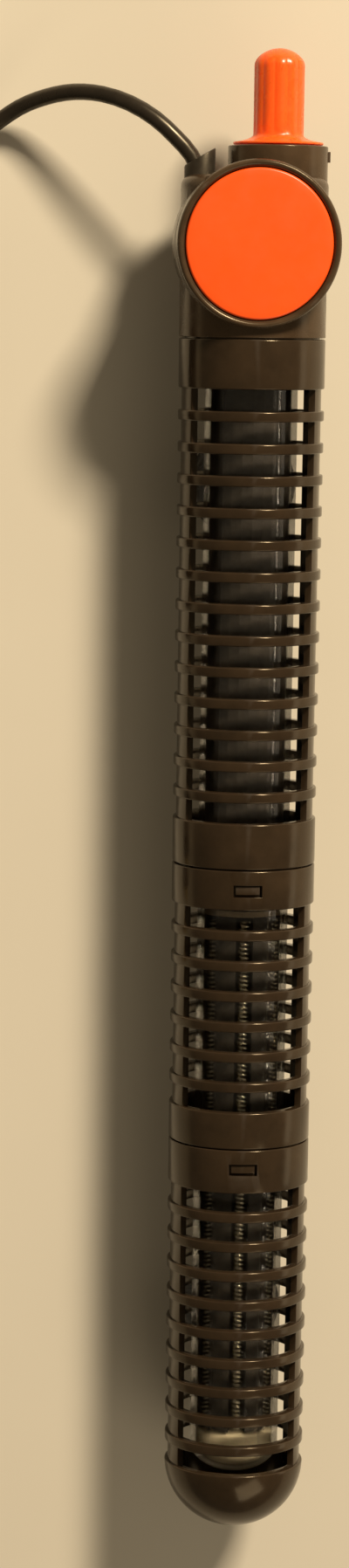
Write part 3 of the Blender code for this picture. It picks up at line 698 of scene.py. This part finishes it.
def make_head():
    """The housing: body, drum, neck and nub in one, with its bores cut out."""
    low = JOINT_0 - SPIGOT_LENGTH
    body = [(0.0, BODY_TOP), *arc((GUARD_R - 2.5, BODY_TOP - 2.5), 2.5, 90, 0, 6),
            *arc((GUARD_R - 0.25, JOINT_0 + 0.4), 0.25, 0, -90, 3), (SPIGOT_R, JOINT_0 + 0.15),
            (SPIGOT_R, low + 0.3), (SPIGOT_R - 0.3, low), (0.0, low)]
    drum = [(0.0, DRUM_FRONT), (DRUM_R - 1.8, DRUM_FRONT), (DRUM_R - 1.8, DRUM_STEP),
            *arc((DRUM_R - 0.15, DRUM_STEP - 0.15), 0.15, 90, 0, 2),
            *arc((DRUM_R - 0.6, DRUM_BACK + 0.6), 0.6, 0, -90, 4), (0.0, DRUM_BACK)]
    neck = [(0.0, NECK_TOP), *arc((NECK_R - 0.3, NECK_TOP - 0.3), 0.3, 90, 0, 4),
            (NECK_R, BODY_TOP - 5.2), (0.0, BODY_TOP - 5.2)]
    nub = bmesh.new()
    corners = bmesh.ops.create_cube(nub, size=1.0)["verts"]
    bmesh.ops.scale(nub, vec=(1.6, 2.4, 1.6), verts=corners)
    bmesh.ops.translate(nub, vec=(NECK_X + NECK_R - 0.25, NUB_Y, AXIS_Z), verts=corners)
    bore = [(0.0, BODY_TOP - 2.1), (13.1, BODY_TOP - 2.1), (13.1, 114.6), (BORE_R, 114.6),
            (BORE_R, low - 4.0), (0.0, low - 4.0)]
    window = [(0.0, DRUM_FRONT + 4.0), (DRUM_BORE_R, DRUM_FRONT + 4.0), (DRUM_BORE_R, -2.0),
              (0.0, -2.0)]
    shaft = [(0.0, 162.0), (4.3, 162.0), (4.3, 143.7), (0.0, 143.7)]
    gland = [(0.0, 164.0), (GLAND_R + 0.15, 164.0), (GLAND_R + 0.15, 147.6), (2.7, 147.6),
             (2.7, 130.3), (0.0, 130.3)]
    added = [revolved(body, on_axis(), 128), revolved(drum, facing(DRUM_Y), 131),
             revolved(neck, on_axis(NECK_X), 97), nub]
    cuts = [revolved(bore, on_axis(), 101), revolved(window, facing(DRUM_Y), 89),
            revolved(shaft, on_axis(NECK_X), 40), revolved(gland, on_axis(GLAND_X), 44)]
    piece = solid_piece("head_shell", added, cuts, "black_abs", "heater", ("head_housing",))
    piece.material_slots[0].material = MATERIALS["head_black"]


def make_bezel():
    """The ring round the disc, rounded at the front."""
    rise = 1.3
    crest = []
    for a in range(0, 181, 12):
        half = DRUM_R - BEZEL_CREST if a < 90 else BEZEL_CREST - BEZEL_INNER
        crest.append((BEZEL_CREST + half * math.cos(math.radians(a)),
                      BEZEL_FRONT - rise + rise * math.sin(math.radians(a))))
    ring = [*reversed(crest), (DRUM_R, DRUM_STEP + 0.15), (DRUM_R - 1.8, DRUM_STEP + 0.15),
            (DRUM_R - 1.8, 17.0), (BEZEL_INNER, 17.2)]
    piece = turned_piece("bezel_ring", ring, facing(DRUM_Y), "black_abs", "heater",
                         ("cover_bezel",), 144, True)
    piece.material_slots[0].material = MATERIALS["head_black"]


def make_disc():
    top = DISC[1].z - AXIS_Z
    face = [(0.0, top - 0.26), (6.0, top - 0.28), (12.0, top - 0.4), (15.2, top - 0.52),
            *arc((DISC_R - 0.6, top - 1.16), 0.6, 84, 6, 6), (DISC_R, 17.95), (DISC_R - 0.1, 17.7),
            (15.0, 17.7), (14.9, 13.2), (13.7, 13.2), (13.7, 17.9), (0.0, 18.1)]
    turned_piece("disc_face", face, facing(DRUM_Y), "orange_abs", "heater",
                 ("cover_disc",), 144, smooth=28.0)


def make_gland():
    """A sleeve with a slanted mouth that leans towards the lead."""
    bm = bmesh.new()
    rows = ((GLAND_R - 1.25, 136.0, 0), (GLAND_R - 1.25, 147.8, 0), (GLAND_R, 147.9, 0),
            (GLAND_R, GLAND_CUT_Y - 0.35, 1), (GLAND_R - 0.12, GLAND_CUT_Y - 0.1, 1),
            (GLAND_R - 0.35, GLAND_CUT_Y, 1), (GLAND_R - 0.65, GLAND_CUT_Y - 0.05, 1),
            (GLAND_R - 0.9, GLAND_CUT_Y - 0.5, 1), (GLAND_R - 1.3, 148.6, 0), (0.0, 148.4, 0))
    count = 64
    grid = []
    for radius, height, slant in rows:
        ring = []
        for k in range(count):
            angle = 2 * math.pi * k / count
            x = radius * math.cos(angle)
            y = height + slant * x * math.tan(GLAND_TILT)
            ring.append(bm.verts.new((GLAND_X + x, y, AXIS_Z + radius * math.sin(angle))))
        grid.append(ring)
    skin(bm, grid)
    bm.faces.new(grid[0])
    bmesh.ops.recalc_face_normals(bm, faces=bm.faces)
    mesh_piece("gland_sleeve", bm, "black_rubber", "heater", ("cord_gland",))


def knob_radius(height, angle):
    """The knob's outline at a height above its base, with flutes pressed into its side."""
    tip = HALF_LENGTH - KNOB_BASE
    below = max(0.0, tip - height)
    if below < CROWN_DEPTH:
        radius = KNOB_R * (1 - (1 - below / CROWN_DEPTH) ** 1.9) ** 0.56
    elif height > 2.4:
        radius = KNOB_R
    else:
        flare = max(0.0, 1 - (height - 0.55) / 1.85)
        radius = KNOB_R + (SKIRT_R - 0.35 - KNOB_R) * flare**2.6
    start = min(1.0, max(0.0, (height - 2.1) / 0.9))
    finish = min(1.0, max(0.0, (below - 1.7) / 1.4))
    pillar = 0.5 + 0.5 * math.cos(FLUTES * angle)
    return radius - FLUTE_DEPTH * start * finish * (1 - pillar**0.5)


def make_knob():
    tip = HALF_LENGTH - KNOB_BASE
    heights = [0.0, 0.12, 0.42, RIM_HEIGHT, 0.65, 0.8, 1.0, 1.25, 1.6, 2.0, 2.4, 2.8, 3.3, 4.5,
               8.0, 12.0, 15.0, 17.0]
    heights += [tip - 4.4 * (1 - math.sin(math.radians(a))) for a in range(0, 90, 6)]
    heights = sorted(h for h in heights if h < tip)
    count = FLUTES * 16
    bm = bmesh.new()
    grid = []
    for height in heights:
        ring = []
        for k in range(count):
            angle = 2 * math.pi * k / count
            radius = min(SKIRT_R, knob_radius(height, angle))
            if height <= RIM_HEIGHT:
                radius = SKIRT_R - (0.12 if height in (0.0, RIM_HEIGHT) else 0.0)
            x, z = radius * math.sin(angle), radius * math.cos(angle)
            ring.append(bm.verts.new((NECK_X + x, KNOB_BASE + height, AXIS_Z + z)))
        grid.append(ring)
    top = bm.verts.new((NECK_X, HALF_LENGTH, AXIS_Z))
    skin(bm, grid)
    for k in range(count):
        bm.faces.new((grid[-1][k], grid[-1][(k + 1) % count], top))
    bm.faces.new(list(reversed(grid[0])))
    bmesh.ops.recalc_face_normals(bm, faces=bm.faces)
    piece = mesh_piece("knob_cap", bm, "orange_abs", "knob", ("temperature_knob",), 40.0)
    piece.material_slots[0].material = MATERIALS["knob_orange"]


# Tube and heating element


def dome_points(radius, depth, centre):
    angles = [math.pi / 2 * k / 12 for k in range(12)]
    points = [(radius * math.cos(a), centre - depth * math.sin(a)) for a in angles]
    return [*points, (0.0, centre - depth)]


def make_tube():
    inner = TUBE_R - TUBE_WALL
    outline = [*reversed(dome_points(inner, TUBE_DOME - TUBE_WALL, TUBE_END)), (inner, TUBE_TOP),
               (TUBE_R, TUBE_TOP), *dome_points(TUBE_R, TUBE_DOME, TUBE_END)]
    turned_piece("tube_glass", outline, on_axis(), "quartz_glass", "heater", ("glass_tube",), 128)


def make_former():
    """The ceramic core with an open channel for each coil."""
    low, high = FORMER[0].y, FORMER[1].y
    outline = []
    channel = 2.05
    centre = middle("heating_coil_1")
    radius = math.hypot(centre.x, centre.z - AXIS_Z)
    for k in range(COILS):
        angle = 2 * math.pi * k / COILS
        across = Vector((math.cos(angle), math.sin(angle)))
        beside = Vector((-math.sin(angle), math.cos(angle)))
        mouth = math.sqrt(FORMER_R**2 - channel**2)
        outline.append(across * mouth - beside * channel)
        for step in range(9):
            turned = math.pi * step / 8
            outline.append(across * (radius - channel * math.sin(turned))
                           - beside * channel * math.cos(turned))
        outline.append(across * mouth + beside * channel)
        edge = math.asin(channel / FORMER_R)
        for step in range(1, 5):
            part = angle + edge + (math.pi / 3 - 2 * edge) * step / 5
            outline.append(Vector((math.cos(part), math.sin(part))) * FORMER_R)
    bm = bmesh.new()
    matrix = on_axis()
    ends = [[bm.verts.new(matrix @ Vector((p.x, p.y, y))) for p in outline] for y in (low, high)]
    skin(bm, ends)
    bm.faces.new(list(reversed(ends[0])))
    bm.faces.new(ends[1])
    bmesh.ops.recalc_face_normals(bm, faces=bm.faces)
    mesh_piece("former_core", bm, "dark_ceramic", "heater", ("ceramic_former",))


def make_pad():
    """The wool plug that fills the tube's round end, with an uneven edge."""
    low, high = span("bottom_pad")
    radius = (high.x - low.x) / 2
    depth = TUBE_END - low.y
    end = [(radius * math.cos(a), TUBE_END - depth * math.sin(a))
           for a in (math.radians(10 * k) for k in range(9))]
    outline = [(0.0, high.y - 0.1), (3.0, high.y - 0.1), (6.0, high.y - 0.1),
               (radius - 1.0, high.y - 0.15), (radius - 0.25, high.y - 0.5),
               (radius, high.y - 1.1), (radius, high.y - 2.6), *end, (0.0, low.y)]
    bm = revolved(outline, on_axis(), 72)
    for vert in bm.verts:
        lump = fractal((vert.co + Vector((40.0, 0.0, 0.0))) * 0.45, 0.9, 2.1, 3)
        inward = PAD_UNEVENNESS * (0.5 + 0.5 * lump)
        vert.co.x -= vert.co.x / radius * inward
        vert.co.z -= (vert.co.z - AXIS_Z) / radius * inward
        vert.co.y -= inward if vert.co.y > high.y - 1.0 else 0.0
    return mesh_piece("pad_wool", bm, "silica_pad", "heater", ("bottom_pad",), 60.0)


def curve_piece(name, points, radius, slot, body, stands_for, resolution):
    curve = bpy.data.curves.new(name, "CURVE")
    curve.dimensions = "3D"
    curve.bevel_depth = radius * MM
    curve.bevel_resolution = resolution
    curve.use_fill_caps = True
    spline = curve.splines.new("POLY")
    spline.points.add(len(points) - 1)
    for point, place in zip(spline.points, points):
        point.co = (*(Vector(place) * MM), 1.0)
    spline.use_smooth = True
    return finish_piece(bpy.data.objects.new(name, curve), slot, body, stands_for)


def make_coils():
    """Each coil of wire, wound turn by turn in its channel."""
    for k in range(COILS):
        node = f"heating_coil_{k + 1}"
        low, high = span(node)
        centre = middle(node)
        turns = int((high.y - low.y) / COIL_PITCH)
        points = []
        for step in range(turns * TURN_STEPS + 1):
            angle = 2 * math.pi * step / TURN_STEPS
            y = low.y + (high.y - low.y) * step / (turns * TURN_STEPS)
            points.append((centre.x + COIL_R * math.cos(angle), y,
                           centre.z + COIL_R * math.sin(angle)))
        curve_piece(f"coil_wire_{k + 1}", points, WIRE_R, "heating_wire", "heater", (node,), 1)


# Lead


def smooth_line(points, step):
    """Points about step apart on a Catmull-Rom curve through the given points."""
    points = [Vector(p) for p in points]
    ends = [2 * points[0] - points[1], *points, 2 * points[-1] - points[-2]]
    line = []
    for before, a, b, after in zip(ends, ends[1:], ends[2:], ends[3:]):
        count = max(1, round((b - a).length / step))
        for k in range(count):
            t = k / count
            line.append(0.5 * (2 * a + (b - before) * t
                               + (2 * before - 5 * a + 4 * b - after) * t**2
                               + (3 * a - before - 3 * b + after) * t**3))
    return [*line, points[-1]]


def hank_turns():
    """The folded lead: two turns a layer, outer to inner and back, layer on layer."""
    turns = []
    for layer in range(HANK_LAYERS):
        order = (FOLD_OUTER, FOLD_INNER) if layer % 2 == 0 else (FOLD_INNER, FOLD_OUTER)
        turns += [(radius, HANK_Z + layer * LAYER_STEP) for radius in order]
    half = HANK_RUN / 2
    points = []
    for number, (radius, z) in enumerate(turns):
        for k in range(13):
            angle = math.pi * k / 12
            if number == 0 and angle < math.pi / 2 - 1e-6:
                continue
            points.append((HANK.x + radius * math.cos(angle),
                           HANK.y + half + radius * math.sin(angle), z))
        for k in range(1, 8):
            points.append((HANK.x - radius, HANK.y + half - HANK_RUN * k / 8, z))
        if number == len(turns) - 1:
            break
        for k in range(13):
            angle = math.pi + math.pi * k / 12
            points.append((HANK.x + radius * math.cos(angle),
                           HANK.y - half + radius * math.sin(angle), z))
        after, up = turns[number + 1]
        for k in range(1, 12):
            t = k / 12
            ease = t * t * (3 - 2 * t)
            points.append((HANK.x + radius + (after - radius) * ease,
                           HANK.y - half + HANK_RUN * t, z + (up - z) * ease))
    return points


def make_lead():
    """The lead as one line, and with it where it starts and how long it is."""
    turns = hank_turns()
    free = smooth_line([*CORD_START, *CORD_ROUTE, HANK_ENTRY, turns[0]], LINE_STEP)
    end = (PLUG.x, TAIL_ROUTE[-1][1] - 3.0, PLUG.z)
    tail = smooth_line([turns[-1], *TAIL_ROUTE, end], LINE_STEP)
    line = [*free[:-1], *(Vector(p) for p in turns[:-1]), *tail]
    length = sum((b - a).length for a, b in zip(line, line[1:]))
    lead = curve_piece("mains_lead", line, CORD_R, "cord_pvc", "heater",
                       ("power_cord", "cord_hank", "cord_tail"), 5)
    return lead, line[0] * MM, length * MM


def make_tie():
    """A flat band round the folded lead, with soft edges."""
    low, high = span("hank_tie")
    half = (high - low) / 2
    centre = middle("hank_tie")
    bm = bmesh.new()
    section = []
    corner = 4.0
    for start, x, z in ((0, 1, 1), (90, -1, 1), (180, -1, -1), (270, 1, -1)):
        for k in range(7):
            angle = math.radians(start + 15 * k)
            section.append(((half.x - corner) * x + corner * math.cos(angle),
                            (half.z - corner) * z + corner * math.sin(angle),
                            math.cos(angle), math.sin(angle)))
    across = [(-1.0, 0.12), (-0.94, 0.0), (0.94, 0.0), (1.0, 0.12), (0.94, 0.75), (-0.94, 0.75)]
    grid = []
    for x, z, nx, nz in section:
        grid.append([bm.verts.new((centre.x + x - nx * depth, centre.y + half.y * side,
                                   centre.z + z - nz * depth)) for side, depth in across])
    skin(bm, [*grid, grid[0]])
    bmesh.ops.recalc_face_normals(bm, faces=bm.faces)
    return mesh_piece("tie_band", bm, "black_rubber", "heater", ("hank_tie",))


def superellipse(half_x, half_z, power):
    points = []
    for k in range(48):
        angle = 2 * math.pi * k / 48
        c, s = math.cos(angle), math.sin(angle)
        points.append((half_x * math.copysign(abs(c) ** (2 / power), c),
                       half_z * math.copysign(abs(s) ** (2 / power), s)))
    return points


def make_plug():
    """A moulded plug: a soft-edged body, waisted for the fingers, and a ribbed strain relief."""
    low, high = span("plug_body")
    face, tip = low.y, high.y
    half_x, half_z = (high.x - low.x) / 2, (high.z - low.z) / 2
    rows = [(0.0, half_x - 1.6, half_z - 1.6, 5), (0.5, half_x - 0.6, half_z - 0.6, 5),
            (1.6, half_x, half_z, 5), (9.0, half_x, half_z, 5),
            (15.0, half_x - 1.0, half_z - 0.5, 4.5), (22.0, half_x - 1.4, half_z - 0.7, 4.2),
            (28.0, half_x - 1.0, half_z - 0.6, 4), (31.5, half_x - 2.2, half_z - 1.2, 3.6),
            (33.3, half_x - 5.0, half_z - 2.4, 3), (34.0, 5.0, 4.9, 2)]
    ribs = 8
    relief = 34.5
    length = tip - face - relief
    for k in range(ribs):
        start = relief + length * k / ribs
        radius = 4.7 - 2.0 * k / ribs
        rows += [(start, radius - 0.45, radius - 0.45, 2), (start + 0.35, radius, radius, 2),
                 (start + length / ribs * 0.6, radius - 0.1, radius - 0.1, 2),
                 (start + length / ribs * 0.75, radius - 0.55, radius - 0.55, 2)]
    rows.append((tip - face, 2.3, 2.3, 2))
    centre = middle("plug_body")
    bm = bmesh.new()
    grid = []
    for along, rx, rz, power in rows:
        grid.append([bm.verts.new((centre.x + x, face + along, PLUG.z + z))
                     for x, z in superellipse(rx, rz, power)])
    skin(bm, grid)
    bm.faces.new(list(reversed(grid[0])))
    bm.faces.new(grid[-1])
    bmesh.ops.recalc_face_normals(bm, faces=bm.faces)
    return mesh_piece("plug_moulding", bm, "cord_pvc", "heater", ("plug_body",), 30.0)


def make_floor():
    """A plain pale ground, a hair below the part's own lowest points."""
    made = Shader("floor")
    made.color(made.noise(3.0, 3.0), ((0.3, (0.60, 0.54, 0.44)), (0.7, (0.64, 0.58, 0.48))))
    made.spread(made.noise(40.0), 0.55, 0.7, "Roughness")
    bm = bmesh.new()
    bmesh.ops.create_grid(bm, x_segments=1, y_segments=1, size=4.0)
    mesh = bpy.data.meshes.new("floor")
    bm.to_mesh(mesh)
    bm.free()
    mesh.materials.append(made.material)
    floor = bpy.data.objects.new("floor", mesh)
    floor.location.z = -FLOOR_DROP
    bpy.context.scene.collection.objects.link(floor)


def paint_frame():
    """Every CAD node that still shows gets its slot's material."""
    slots = {part["node"]: part["material_slot"] for part in frame["record"]["subparts"]}
    for name, node in frame["nodes"].items():
        node.data.materials.clear()
        node.data.materials.append(MATERIALS[slots[name]])


make_camera()
make_lights()
MATERIALS = make_materials()
paint_frame()
lead, lead_start, lead_length = make_lead()
tie = make_tie()
plug = make_plug()
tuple(lead_start)
make_guard()
make_cups()
make_head()
make_bezel()
make_disc()
make_gland()
make_knob()
make_tube()
make_former()
make_pad()
make_coils()
make_floor()
